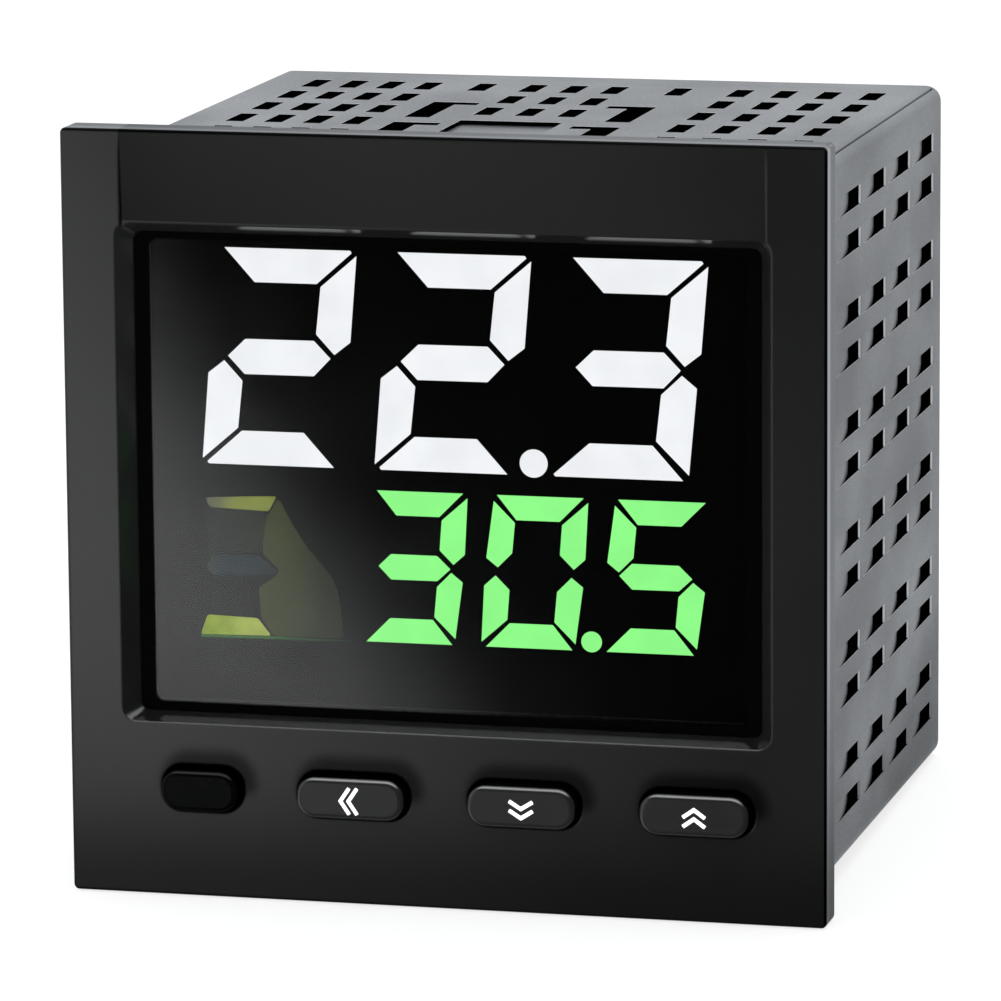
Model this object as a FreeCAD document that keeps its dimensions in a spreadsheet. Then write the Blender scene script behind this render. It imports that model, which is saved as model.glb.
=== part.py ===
import FreeCAD, Part
import math
import os

import Sketcher
from FreeCAD import Placement, Rotation, Vector

# Panel-mounted temperature controller, 96 x 96 front.
# Frame: origin at the centre of the panel seat, the plane of the flange's rear face.
# +X right as seen from the front, +Y to the rear (into the panel), +Z up. Millimetres.

DOC = FreeCAD.newDocument("TemperatureController")
SHEET = DOC.addObject("Spreadsheet::Sheet", "Dims")
SHEET.Label = "Dimensions"

SIZES = [
    # front flange
    ("flange_w", 96.0), ("flange_depth", 5.8), ("flange_corner", 0.7), ("flange_front_round", 0.3), ("flange_rear_round", 1.0),
    ("front_wall", 3.2), ("crease_x", 40.5), ("facet_drop", 0.55), ("facet_top", 47.5),
    # window
    ("win_w", 78.9), ("win_low", 25.1), ("win_high", 35.1), ("win_depth", 2.6), ("win_corner", 1.2), ("win_outer_corner", 2.0),
    ("bevel_side", 1.75), ("bevel_low", 1.0), ("bevel_high", 1.55),
    ("lens_w", 81.0), ("lens_low", 26.3), ("lens_high", 36.7), ("lens_thick", 1.5), ("lens_gap", 0.2),
    # rear case
    ("case_w", 90.5), ("case_high", 44.3), ("case_low", 45.8), ("case_back", 84.2), ("case_wall", 1.6), ("rear_wall", 2.0),
    ("case_edge", 2.0), ("case_rear_round", 1.6), ("groove_deep", 0.28), ("rebate_depth", 1.0), ("rebate_gap", 0.35),
    # skirt behind the flange
    ("skirt_x", 43.3), ("skirt_high", 42.35), ("skirt_low", 43.85), ("skirt_wall", 1.5), ("skirt_back", 13.0),
    # keys
    ("key_z", 34.25), ("key_w", 13.6), ("key_tall", 5.15), ("key_round", 2.3), ("key_gap", 0.35), ("key_proud", 2.3),
    ("mode_x", 30.9), ("shift_x", 11.5), ("down_x", 10.2), ("up_x", 31.9), ("mode_w", 9.8),
    ("key_rim", 0.9), ("key_rim_thick", 0.8), ("key_edge_round", 0.65), ("stem_radius", 1.5),
    ("plunger_radius", 1.6), ("plunger_gap", 0.12), ("switch_w", 6.0), ("switch_tall", 3.4),
    # display stack
    ("lcd_w", 76.8), ("lcd_low", 24.6), ("lcd_high", 35.0), ("lcd_thick", 2.2), ("lcd_front", 1.4),
    ("guide_thick", 3.0), ("board_front", 6.0), ("board_thick", 1.6), ("board_w", 83.0), ("board_low", 41.15), ("board_high", 40.55),
    # side boards
    ("side_board_x", 33.2), ("side_board_front", 9.0), ("side_board_back", 70.0), ("side_board_low", 40.2), ("side_board_high", 39.6),
    # side louvres: a curved ramp that sinks towards the rear and ends in an opening
    ("ramp_start", 12.9), ("ramp_end", 26.3), ("ramp_sink", 1.1), ("ramp_back", 28.6), ("ramp_pitch", 16.3), ("ramp_tall", 2.5),
    ("row_low_one", 39.65), ("row_low_two", 34.3), ("row_pitch", 14.13),
    # top and bottom slots
    ("slot_w", 2.5), ("slot_long", 7.9), ("slot_front", 19.25), ("slot_pitch", 11.8),
    ("left_first", 36.6), ("left_pitch", 5.1), ("right_first", 20.9), ("right_pitch", 5.85),
    ("mid_first", 7.0), ("mid_pitch", 5.5), ("mid_front", 42.85),
    # bracket slots and hooks
    ("hook_left", 16.4), ("hook_right", 9.9), ("hook_w", 3.4), ("hook_front_a", 22.2), ("hook_back_a", 34.7),
    ("hook_front_b", 39.2), ("hook_back_b", 54.9), ("hook_notch", 2.9), ("hook_notch_long", 2.7), ("recess_depth", 0.6),
    # terminals
    ("term_in", 26.5), ("term_out", 41.5), ("term_front", 72.0), ("term_back", 86.0), ("term_low", 38.7), ("term_high", 38.1),
    ("term_pitch", 8.4), ("term_cell", 7.0), ("term_cell_depth", 6.0), ("term_x", 34.0), ("term_gap", 0.2),
    ("plate_thick", 0.9), ("screw_head_radius", 2.75), ("screw_head_tall", 2.0), ("screw_radius", 1.5),
    ("boss_radius", 2.1), ("boss_hole", 0.95),
]


class Q:
    """A size with the sheet expression it comes from."""

    def __init__(self, v, e):
        self.v, self.e = float(v), e

    def __add__(self, o):
        return Q(self.v + V(o), "(%s + %s)" % (self.e, E(o)))

    def __radd__(self, o):
        return Q(V(o) + self.v, "(%s + %s)" % (E(o), self.e))

    def __sub__(self, o):
        return Q(self.v - V(o), "(%s - %s)" % (self.e, E(o)))

    def __rsub__(self, o):
        return Q(V(o) - self.v, "(%s - %s)" % (E(o), self.e))

    def __mul__(self, o):
        return Q(self.v * V(o), "(%s * %s)" % (self.e, E(o)))

    __rmul__ = __mul__

    def __truediv__(self, o):
        return Q(self.v / V(o), "(%s / %s)" % (self.e, E(o)))

    def __neg__(self):
        return Q(-self.v, "(-%s)" % self.e)


def V(x):
    return x.v if isinstance(x, Q) else float(x)


def E(x):
    return x.e if isinstance(x, Q) else "%.6g" % x


D = {}
for row, (name, value) in enumerate(SIZES, 1):
    SHEET.set("A%d" % row, name.replace("_", " "))
    SHEET.set("B%d" % row, "%g" % value)
    SHEET.setAlias("B%d" % row, name)
    D[name] = Q(value, "Dims.%s" % name)
DOC.recompute()


def bind(obj, prop, q):
    if isinstance(q, Q):
        obj.setExpression(prop, q.e)
    else:
        head = prop.split(".")[0]
        if head == prop:
            setattr(obj, prop, q)
        else:
            obj.setExpression(prop, "%.6g" % q)


# ---------------------------------------------------------------- sketches
def role(body, name):
    return [f for f in body.Origin.OriginFeatures if f.Role == name][0]


def new_body(label):
    b = DOC.addObject("PartDesign::Body", label)
    b.Label = label
    return b


def sketch(body, name, plane, at):
    """plane XZ: at is Y. plane XY: at is Z. plane YZ: at is X."""
    sk = body.newObject("Sketcher::SketchObject", name)
    sk.AttachmentSupport = (role(body, plane + "_Plane"), [""])
    sk.MapMode = "FlatFace"
    off = -at if plane == "XZ" else at
    sk.AttachmentOffset = Placement(Vector(0, 0, V(off)), Rotation())
    if isinstance(off, Q):
        sk.setExpression("AttachmentOffset.Base.z", off.e)
    return sk


def pin(sk, kind, geo, pos, q):
    n = sk.addConstraint(Sketcher.Constraint(kind, -1, 1, geo, pos, V(q)))
    if isinstance(q, Q):
        sk.setExpression("Constraints[%d]" % n, q.e)


def rect(sk, x0, x1, y0, y1):
    P = [(V(x0), V(y0)), (V(x1), V(y0)), (V(x1), V(y1)), (V(x0), V(y1))]
    g = [sk.addGeometry(Part.LineSegment(Vector(*P[i], 0), Vector(*P[(i + 1) % 4], 0)), False) for i in range(4)]
    for i in range(4):
        sk.addConstraint(Sketcher.Constraint("Coincident", g[i], 2, g[(i + 1) % 4], 1))
    for i in (0, 2):
        sk.addConstraint(Sketcher.Constraint("Horizontal", g[i]))
    for i in (1, 3):
        sk.addConstraint(Sketcher.Constraint("Vertical", g[i]))
    pin(sk, "DistanceX", g[0], 1, x0)
    pin(sk, "DistanceX", g[0], 2, x1)
    pin(sk, "DistanceY", g[0], 1, y0)
    pin(sk, "DistanceY", g[2], 1, y1)


def rrect(sk, x0, x1, y0, y1, r):
    a, b, c, d, q = V(x0), V(x1), V(y0), V(y1), V(r)
    L = [
        ((a + q, c), (b - q, c)),
        ((b, c + q), (b, d - q)),
        ((b - q, d), (a + q, d)),
        ((a, d - q), (a, c + q)),
    ]
    C = [((b - q, c + q), 1.5), ((b - q, d - q), 0.0), ((a + q, d - q), 0.5), ((a + q, c + q), 1.0)]
    lines = [sk.addGeometry(Part.LineSegment(Vector(*p, 0), Vector(*s, 0)), False) for p, s in L]
    arcs = [
        sk.addGeometry(
            Part.ArcOfCircle(Part.Circle(Vector(*c0, 0), Vector(0, 0, 1), q), s * math.pi, (s + 0.5) * math.pi), False
        )
        for c0, s in C
    ]
    for i in range(4):
        sk.addConstraint(Sketcher.Constraint("Tangent", lines[i], 2, arcs[i], 1))
        sk.addConstraint(Sketcher.Constraint("Tangent", arcs[i], 2, lines[(i + 1) % 4], 1))
    for i in (0, 2):
        sk.addConstraint(Sketcher.Constraint("Horizontal", lines[i]))
    for i in (1, 3):
        sk.addConstraint(Sketcher.Constraint("Vertical", lines[i]))
    for i in (1, 2, 3):
        sk.addConstraint(Sketcher.Constraint("Equal", arcs[0], arcs[i]))
    n = sk.addConstraint(Sketcher.Constraint("Radius", arcs[0], q))
    if isinstance(r, Q):
        sk.setExpression("Constraints[%d]" % n, r.e)
    pin(sk, "DistanceY", lines[0], 1, y0)
    pin(sk, "DistanceX", lines[1], 1, x1)
    pin(sk, "DistanceY", lines[2], 1, y1)
    pin(sk, "DistanceX", lines[3], 1, x0)


def poly(sk, pts):
    n = len(pts)
    g = [
        sk.addGeometry(
            Part.LineSegment(
                Vector(V(pts[i][0]), V(pts[i][1]), 0), Vector(V(pts[(i + 1) % n][0]), V(pts[(i + 1) % n][1]), 0)
            ),
            False,
        )
        for i in range(n)
    ]
    for i in range(n):
        sk.addConstraint(Sketcher.Constraint("Coincident", g[i], 2, g[(i + 1) % n], 1))
    for i in range(n):
        pin(sk, "DistanceX", g[i], 1, pts[i][0])
        pin(sk, "DistanceY", g[i], 1, pts[i][1])


def scoop(sk, s, cx):
    """A louvre's outline from above: flush with the wall at ramp_start, curving in to ramp_sink at ramp_end."""
    y0, y1, y2, sink = D["ramp_start"], D["ramp_end"], D["ramp_back"], D["ramp_sink"]
    deep = cx - D["case_wall"] - 0.8
    run = y1 - y0
    r = (run * run + sink * sink) / (sink * 2)
    pts = [(s * (cx - sink), y1), (s * deep, y1), (s * deep, y2), (s * (cx + 1.0), y2), (s * (cx + 1.0), y0), (s * cx, y0)]
    lines = []
    for i in range(5):
        lines.append(
            sk.addGeometry(
                Part.LineSegment(Vector(V(pts[i][0]), V(pts[i][1]), 0), Vector(V(pts[i + 1][0]), V(pts[i + 1][1]), 0)), False
            )
        )
    turn = math.asin(V(run) / V(r))
    a0, a1 = (0.0, turn) if s == 1 else (math.pi - turn, math.pi)
    arc = sk.addGeometry(
        Part.ArcOfCircle(Part.Circle(Vector(V(s * (cx - r)), V(y0), 0), Vector(0, 0, 1), V(r)), a0, a1), False
    )
    for i in range(4):
        sk.addConstraint(Sketcher.Constraint("Coincident", lines[i], 2, lines[i + 1], 1))
    start, end = (1, 2) if s == 1 else (2, 1)
    sk.addConstraint(Sketcher.Constraint("Coincident", lines[4], 2, arc, start))
    sk.addConstraint(Sketcher.Constraint("Coincident", lines[0], 1, arc, end))
    for i, (x, y) in enumerate(pts[:5]):
        pin(sk, "DistanceX", lines[i], 1, x)
        pin(sk, "DistanceY", lines[i], 1, y)
    pin(sk, "DistanceX", lines[4], 2, pts[5][0])
    pin(sk, "DistanceY", lines[4], 2, pts[5][1])
    pin(sk, "DistanceY", arc, 3, y0)


def circle(sk, x, y, r):
    g = sk.addGeometry(Part.Circle(Vector(V(x), V(y), 0), Vector(0, 0, 1), V(r)), False)
    pin(sk, "DistanceX", g, 3, x)
    pin(sk, "DistanceY", g, 3, y)
    n = sk.addConstraint(Sketcher.Constraint("Radius", g, V(r)))
    if isinstance(r, Q):
        sk.setExpression("Constraints[%d]" % n, r.e)


# ---------------------------------------------------------------- features
def pad(body, name, sk, length, reverse=False):
    """Along the sketch normal: -Y on XZ, +Z on XY, +X on YZ. reverse turns it round."""
    f = body.newObject("PartDesign::Pad", name)
    f.Profile = sk
    f.Reversed = reverse
    f.Length = V(length)
    bind(f, "Length", length)
    body.Tip = f
    DOC.recompute()
    return f


def pocket(body, name, sk, length, reverse=False):
    """Against the sketch normal: +Y on XZ, -Z on XY, -X on YZ. reverse turns it round."""
    DOC.recompute()
    before = body.Shape.Volume
    f = body.newObject("PartDesign::Pocket", name)
    f.Profile = sk
    f.Reversed = reverse
    f.Length = V(length)
    bind(f, "Length", length)
    body.Tip = f
    DOC.recompute()
    if not f.Shape.Volume < before - 1e-3:
        raise RuntimeError("%s cuts nothing" % name)
    return f


def pattern(body, name, originals, d1, step1, n1, d2=None, step2=0, n2=1):
    f = body.newObject("PartDesign::LinearPattern", name)
    f.Originals = originals
    f.Direction = (role(body, d1 + "_Axis"), [""])
    f.Length = V(step1) * (n1 - 1)
    bind(f, "Length", step1 * (n1 - 1))
    f.Occurrences = n1
    if d2:
        f.Direction2 = (role(body, d2 + "_Axis"), [""])
        f.Length2 = V(step2) * (n2 - 1)
        bind(f, "Length2", step2 * (n2 - 1))
        f.Occurrences2 = n2
    body.Tip = f
    DOC.recompute()
    return f


def pick(shape, test):
    return ["Edge%d" % (i + 1) for i, e in enumerate(shape.Edges) if test(e)]


def fillet(body, name, base, test, radius):
    DOC.recompute()
    names = pick(base.Shape, test)
    if not names:
        raise RuntimeError("%s finds no edge" % name)
    f = body.newObject("PartDesign::Fillet", name)
    f.Base = (base, names)
    f.Radius = V(radius)
    bind(f, "Radius", radius)
    body.Tip = f
    DOC.recompute()
    return f


def along(e, axis):
    v = e.Vertexes
    if len(v) < 2 or not isinstance(e.Curve, Part.Line):
        return False
    d = v[1].Point - v[0].Point
    d.normalize()
    return abs(getattr(d, axis)) > 0.999


def at_y(e, y):
    bb = e.BoundBox
    return abs(bb.YMin - y) < 1e-3 and abs(bb.YMax - y) < 1e-3


# ---------------------------------------------------------------- primitives
def box(name, x0, x1, y0, y1, z0, z1):
    o = DOC.addObject("Part::Box", name)
    for p, q in (("Length", x1 - x0), ("Width", y1 - y0), ("Height", z1 - z0)):
        setattr(o, p, V(q))
        bind(o, p, q)
    o.Placement = Placement(Vector(V(x0), V(y0), V(z0)), Rotation())
    for p, q in (("x", x0), ("y", y0), ("z", z0)):
        bind(o, "Placement.Base." + p, q)
    return o


def cyl(name, axis, x, y, z, r, length):
    """A cylinder from (x, y, z) along +axis."""
    o = DOC.addObject("Part::Cylinder", name)
    o.Radius = V(r)
    o.Height = V(length)
    bind(o, "Radius", r)
    bind(o, "Height", length)
    rot = {"X": Rotation(Vector(0, 1, 0), 90), "Y": Rotation(Vector(1, 0, 0), -90), "Z": Rotation()}[axis]
    o.Placement = Placement(Vector(V(x), V(y), V(z)), rot)
    for p, q in (("x", x), ("y", y), ("z", z)):
        bind(o, "Placement.Base." + p, q)
    return o


def cut(name, base, tools):
    tool = tools[0] if len(tools) == 1 else fuse(name + "_tool", tools)
    o = DOC.addObject("Part::Cut", name)
    o.Base, o.Tool = base, tool
    return o


def fuse(name, shapes):
    o = DOC.addObject("Part::MultiFuse", name)
    o.Shapes = shapes
    return o


def group(name, objects):
    o = DOC.addObject("Part::Compound", name)
    o.Links = objects
    return o


def rounded(name, base, test, r):
    DOC.recompute()
    o = DOC.addObject("Part::Fillet", name)
    o.Base = base
    o.Edges = [(i + 1, V(r), V(r)) for i, e in enumerate(base.Shape.Edges) if test(e)]
    return o


NODES = []


def node(obj, label):
    obj.Label = label
    NODES.append(obj)
    return obj


d = D
half = d["flange_w"] / 2
front_y = -d["flange_depth"]
wall_y = front_y + d["front_wall"]  # rear face of the front wall
lens_y = front_y + d["win_depth"]  # front face of the window pane
skirt_ix = d["skirt_x"] - d["skirt_wall"]
skirt_ih = d["skirt_high"] - d["skirt_wall"]
skirt_il = d["skirt_low"] - d["skirt_wall"]
KEYS = [
    ("mode", -d["mode_x"], d["mode_w"]),
    ("shift", -d["shift_x"], d["key_w"]),
    ("down", d["down_x"], d["key_w"]),
    ("up", d["up_x"], d["key_w"]),
]
BOSSES = [(-36.0, 39.0), (36.0, 39.0), (-22.3, -39.2), (21.05, -39.2)]
HOOKS = [-(d["hook_left"] - d["hook_w"] / 2), d["hook_right"] + d["hook_w"] / 2]

# ================================================================ front bezel
b = new_body("front_bezel")
sk = sketch(b, "flange_sketch", "XZ", 0)
rrect(sk, -half, half, -half, half, d["flange_corner"])
f = pad(b, "flange", sk, d["flange_depth"])
f = fillet(b, "flange_front_edge", f, lambda e: at_y(e, V(front_y)), d["flange_front_round"])
f = fillet(b, "flange_rear_edge", f, lambda e: at_y(e, 0.0), d["flange_rear_round"])
# seat for the case's front edge
sk = sketch(b, "rebate_sketch", "XZ", 0)
rrect(
    sk,
    -(d["case_w"] / 2 + d["rebate_gap"]),
    d["case_w"] / 2 + d["rebate_gap"],
    -(d["case_low"] + d["rebate_gap"]),
    d["case_high"] + d["rebate_gap"],
    d["case_edge"],
)
pocket(b, "rebate", sk, d["rebate_depth"], reverse=True)
# hollow behind the front wall
sk = sketch(b, "hollow_sketch", "XZ", 0)
rect(sk, -skirt_ix, skirt_ix, -skirt_il, skirt_ih)
pocket(b, "hollow", sk, -wall_y, reverse=True)
# skirt that reaches into the case
sk = sketch(b, "skirt_sketch", "XZ", -d["rebate_depth"] - 0.4)
rect(sk, -d["skirt_x"], d["skirt_x"], -d["skirt_low"], d["skirt_high"])
rect(sk, -skirt_ix, skirt_ix, -skirt_il, skirt_ih)
pad(b, "skirt", sk, d["skirt_back"] + d["rebate_depth"] + 0.4, reverse=True)
# seat of the window pane, from inside
sk = sketch(b, "pane_seat_sketch", "XZ", wall_y)
g = d["lens_gap"]
rect(sk, -(d["lens_w"] / 2 + g), d["lens_w"] / 2 + g, -(d["lens_low"] + g), d["lens_high"] + g)
pocket(b, "pane_seat", sk, d["front_wall"] - d["win_depth"], reverse=True)
# the facet above the window: it leans back from the top edge to the window
sk = sketch(b, "facet_sketch", "YZ", -d["crease_x"])
zt, zb = d["facet_top"], d["win_high"] + 0.4
poly(sk, [(front_y - 1.0, zb), (front_y + d["facet_drop"], zb), (front_y, zt), (front_y - 1.0, zt)])
pocket(b, "facet", sk, d["crease_x"] * 2, reverse=True)
# window opening with bevelled walls
inner = sketch(b, "window_inner_sketch", "XZ", lens_y + 0.05)
k = 1 - (d["win_depth"] + 0.05) / d["win_depth"]
side, low, high = (d["win_w"] / 2 + d["bevel_side"] * k, d["win_low"] + d["bevel_low"] * k, d["win_high"] + d["bevel_high"] * k)
rrect(inner, -side, side, -low, high, d["win_corner"])
outer = sketch(b, "window_outer_sketch", "XZ", front_y - 0.5)
k = (d["win_depth"] + 0.5) / d["win_depth"]
side, low, high = (d["win_w"] / 2 + d["bevel_side"] * k, d["win_low"] + d["bevel_low"] * k, d["win_high"] + d["bevel_high"] * k)
rrect(outer, -side, side, -low, high, d["win_outer_corner"])
DOC.recompute()
before = b.Shape.Volume
loft = b.newObject("PartDesign::SubtractiveLoft", "window_opening")
loft.Profile = inner
loft.Sections = [outer]
loft.Ruled = True
b.Tip = loft
DOC.recompute()
if not loft.Shape.Volume < before - 1.0:
    raise RuntimeError("window opening cuts nothing")
# key holes
sk = sketch(b, "key_holes_sketch", "XZ", wall_y)
g = d["key_gap"]
for _, x, w in KEYS:
    rrect(
        sk,
        x - w / 2 - g,
        x + w / 2 + g,
        -d["key_z"] - d["key_tall"] / 2 - g,
        -d["key_z"] + d["key_tall"] / 2 + g,
        d["key_round"] + g,
    )
f = pocket(b, "key_holes", sk, d["front_wall"] + 1.0, reverse=True)
f = fillet(
    b,
    "key_hole_edge",
    f,
    lambda e: at_y(e, V(front_y)) and e.BoundBox.ZMax < -30 and e.BoundBox.ZMin > -38.5 and abs(e.BoundBox.Center.x) < 40.5,
    0.25,
)
# screw bosses for the display board
for i, (x, z) in enumerate(BOSSES):
    sk = sketch(b, "boss_sketch_%d" % i, "XZ", wall_y - 0.3)
    circle(sk, x, z, d["boss_radius"])
    pad(b, "boss_%d" % i, sk, d["board_front"] - wall_y + 0.3, reverse=True)
sk = sketch(b, "boss_hole_sketch", "XZ", d["board_front"])
for x, z in BOSSES:
    circle(sk, x, z, d["boss_hole"])
pocket(b, "boss_holes", sk, 5.5, reverse=True)
# snap hooks that hold the case, two at the top and two at the bottom
for i, x in enumerate(HOOKS):
    for side in (1, -1):
        lo, hi, tip = (
            (skirt_ih + 0.15, d["skirt_high"] - 0.05, d["case_high"] - 0.4)
            if side == 1
            else (-(skirt_il + 0.15), -(d["skirt_low"] - 0.05), -(d["case_low"] - 0.4))
        )
        y0, y1, y2, y3 = d["skirt_back"] - 0.6, d["hook_front_a"] + 0.25, d["hook_front_a"] + 1.0, d["hook_front_a"] + 3.4
        sk = sketch(b, "hook_sketch_%d_%d" % (i, side + 1), "YZ", x - 1.4)
        pts = [(y0, lo), (y3, lo), (y3, hi), (y2 + 0.4, tip), (y1, tip), (y1, hi), (y0, hi)]
        poly(sk, pts if side == 1 else pts[::-1])
        pad(b, "hook_%d_%d" % (i, side + 1), sk, 2.8)
node(b, "front_bezel")

# ================================================================ rear case
b = new_body("rear_case")
cx = d["case_w"] / 2
case_front = -d["rebate_depth"] + 0.1
sk = sketch(b, "outer_sketch", "XZ", d["case_back"])
rrect(sk, -cx, cx, -d["case_low"], d["case_high"], d["case_edge"])
f = pad(b, "outer", sk, d["case_back"] - case_front)
f = fillet(b, "rear_edge", f, lambda e: at_y(e, V(d["case_back"])), d["case_rear_round"])
sk = sketch(b, "inner_sketch", "XZ", case_front)
t = d["case_wall"]
rect(sk, -(cx - t), cx - t, -(d["case_low"] - t), d["case_high"] - t)
pocket(b, "inner", sk, d["case_back"] - d["rear_wall"] - case_front)
# parting groove high on each upper edge's round
sk = sketch(b, "groove_sketch", "XZ", d["case_back"] - 2.5)
gx, gz = cx - d["case_edge"], d["case_high"] - d["case_edge"]
r_out, r_in, half_open = d["case_edge"] + 0.35, d["case_edge"] - d["groove_deep"], 0.3
ca_, sa_ = math.cos(math.radians(60)), math.sin(math.radians(60))
for s in (1, -1):
    poly(
        sk,
        [
            (s * (gx + r_out * ca_ - half_open * sa_), gz + r_out * sa_ + half_open * ca_),
            (s * (gx + r_in * ca_), gz + r_in * sa_),
            (s * (gx + r_out * ca_ + half_open * sa_), gz + r_out * sa_ - half_open * ca_),
        ],
    )
pocket(b, "groove", sk, d["case_back"] - 2.5 - case_front + 0.5, reverse=True)
# terminal windows and the rear vent
sk = sketch(b, "terminal_windows_sketch", "XZ", d["case_back"] - d["rear_wall"] - 1)
g = d["term_gap"]
for s in (1, -1):
    a, c = s * (d["term_in"] - g), s * (d["term_out"] + g)
    rect(sk, a if s == 1 else c, c if s == 1 else a, -(d["term_low"] + g), d["term_high"] + g)
pocket(b, "terminal_windows", sk, d["rear_wall"] + 2)
sk = sketch(b, "rear_vent_sketch", "XZ", d["case_back"] - d["rear_wall"] - 1)
rrect(sk, -19.6, -10.6, -33.6, -31.0, 1.2)
f = pocket(b, "rear_vent", sk, d["rear_wall"] + 2)
pattern(b, "rear_vents", [f], "X", Q(14.9, "14.9"), 3, "Z", Q(7.2, "7.2"), 10)
# slots through the top and the bottom
top = d["case_high"] + 1
deep = d["case_high"] + d["case_low"] + 2


def slot_field(name, x0, pitch, n, y0, rows):
    s = sketch(b, name + "_sketch", "XY", top)
    rect(s, x0 - d["slot_w"] / 2, x0 + d["slot_w"] / 2, y0, y0 + d["slot_long"])
    p = pocket(b, name + "_slot", s, deep)
    return pattern(b, name, [p], "X", pitch, n, "Y", d["slot_pitch"], rows)


slot_field("left_slots", -d["left_first"], d["left_pitch"], 4, d["slot_front"], 5)
slot_field("right_slots", d["right_first"], d["right_pitch"], 4, d["slot_front"], 5)
slot_field("middle_slots", -d["mid_first"], d["mid_pitch"], 3, d["mid_front"], 3)
sk = sketch(b, "single_slots_sketch", "XY", top)
ys = d["mid_front"] + d["slot_pitch"] * 2
for x in (-13.9, 12.6):
    rect(sk, x - d["slot_w"] / 2, x + d["slot_w"] / 2, ys, ys + d["slot_long"])
pocket(b, "single_slots", sk, deep)
# bracket and hook slots, each with a narrow notch towards the middle at its rear end
sk = sketch(b, "hook_slots_sketch", "XY", top)
hw, nn, nl = d["hook_w"], d["hook_notch"], d["hook_notch_long"]
for ya, yb in ((d["hook_front_a"], d["hook_back_a"]), (d["hook_front_b"], d["hook_back_b"])):
    xl = -d["hook_left"]
    poly(sk, [(xl, ya), (xl + hw, ya), (xl + hw, yb - nl), (xl + hw + nn, yb - nl), (xl + hw + nn, yb), (xl, yb)])
    xr = d["hook_right"]
    poly(sk, [(xr, ya), (xr + hw, ya), (xr + hw, yb), (xr - nn, yb), (xr - nn, yb - nl), (xr, yb - nl)])
pocket(b, "hook_slots", sk, deep)
# shallow recess between the front slots, top only
sk = sketch(b, "recess_sketch", "XY", top)
rect(sk, -8.4, 5.0, 6.0, 37.7)
pocket(b, "recess", sk, d["recess_depth"] + 1)
# louvres in both sides, in pairs of rows
pockets = []
for nm, low in (("one", d["row_low_one"]), ("two", d["row_low_two"])):
    sk = sketch(b, "louvre_sketch_" + nm, "XY", -low + d["ramp_tall"])
    for s in (1, -1):
        scoop(sk, s, cx)
    pockets.append(pocket(b, "louvre_" + nm, sk, d["ramp_tall"]))
pattern(b, "louvres", pockets, "Y", d["ramp_pitch"], 4, "Z", d["row_pitch"], 6)
# ribs that guide the side boards
sk = sketch(b, "rib_sketch", "XZ", 30.0)
for s in (1, -1):
    for a in (d["side_board_x"] - 1.35, d["side_board_x"] + d["board_thick"] + 0.15):
        lo, hi = (a, a + 1.2) if s == 1 else (-(a + 1.2), -a)
        rect(sk, lo, hi, d["side_board_high"] - 1.0, d["case_high"] - t + 0.2)
        rect(sk, lo, hi, -(d["case_low"] - t + 0.2), -(d["side_board_low"] - 1.0))
pad(b, "ribs", sk, 38.0, reverse=True)
node(b, "rear_case")

# ================================================================ window pane
o = box("pane_box", -d["lens_w"] / 2, d["lens_w"] / 2, lens_y, lens_y + d["lens_thick"], -d["lens_low"], d["lens_high"])
node(rounded("pane", o, lambda e: along(e, "y"), 1.0), "display_window")

# ================================================================ keys
for name, x, w in KEYS:
    b = new_body(name + "_key")
    h2 = d["key_tall"] / 2
    rim_front = wall_y + 0.1
    sk = sketch(b, name + "_cap_sketch", "XZ", rim_front)
    rrect(sk, x - w / 2, x + w / 2, -d["key_z"] - h2, -d["key_z"] + h2, d["key_round"])
    f = pad(b, name + "_cap", sk, rim_front - front_y + d["key_proud"])
    y_face = V(front_y - d["key_proud"])
    f = fillet(b, name + "_cap_edge", f, lambda e: at_y(e, y_face), d["key_edge_round"])
    sk = sketch(b, name + "_rim_sketch", "XZ", rim_front + d["key_rim_thick"])
    r = d["key_rim"]
    rrect(sk, x - w / 2 - r, x + w / 2 + r, -d["key_z"] - h2 - r, -d["key_z"] + h2 + r, d["key_round"] + r)
    pad(b, name + "_rim", sk, d["key_rim_thick"])
    sk = sketch(b, name + "_stem_sketch", "XZ", 0.9)
    circle(sk, x, -d["key_z"], d["stem_radius"])
    pad(b, name + "_stem", sk, 0.9 - (rim_front + d["key_rim_thick"]) + 0.2)
    node(b, name + "_key")

# tact switches: bodies on the board, plungers that travel with the keys
switches = []
sw_front = d["board_front"] - d["switch_tall"]
for name, x, w in KEYS:
    q = d["switch_w"] / 2
    body_ = box(name + "_switch_box", x - q, x + q, sw_front, d["board_front"], -d["key_z"] - q, -d["key_z"] + q)
    hole = cyl(name + "_switch_hole", "Y", x, sw_front - 1, -d["key_z"], d["plunger_radius"] + d["plunger_gap"], 1 + 1.9)
    switches.append(cut(name + "_switch", body_, [hole]))
    p = cyl(name + "_plunger_rod", "Y", x, 0.9, -d["key_z"], d["plunger_radius"], sw_front - 0.9 + 1.2)
    node(p, name + "_plunger")
node(group("switch_group", switches), "key_switches")

# ================================================================ display stack
lcd_y = -d["lcd_front"]
lcd_back = lcd_y + d["lcd_thick"]
lx = d["lcd_w"] / 2
o = box("lcd_glass", -lx, lx, lcd_y, lcd_back, -d["lcd_low"], d["lcd_high"])
node(o, "lcd_panel")
o = box("guide", -36.0, 36.0, lcd_back, lcd_back + d["guide_thick"], -21.5, 31.9)
node(o, "light_guide")
o = box("reflector", -36.0, 36.0, lcd_back + d["guide_thick"], lcd_back + d["guide_thick"] + 0.3, -21.5, 31.9)
node(o, "reflector_sheet")
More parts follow.
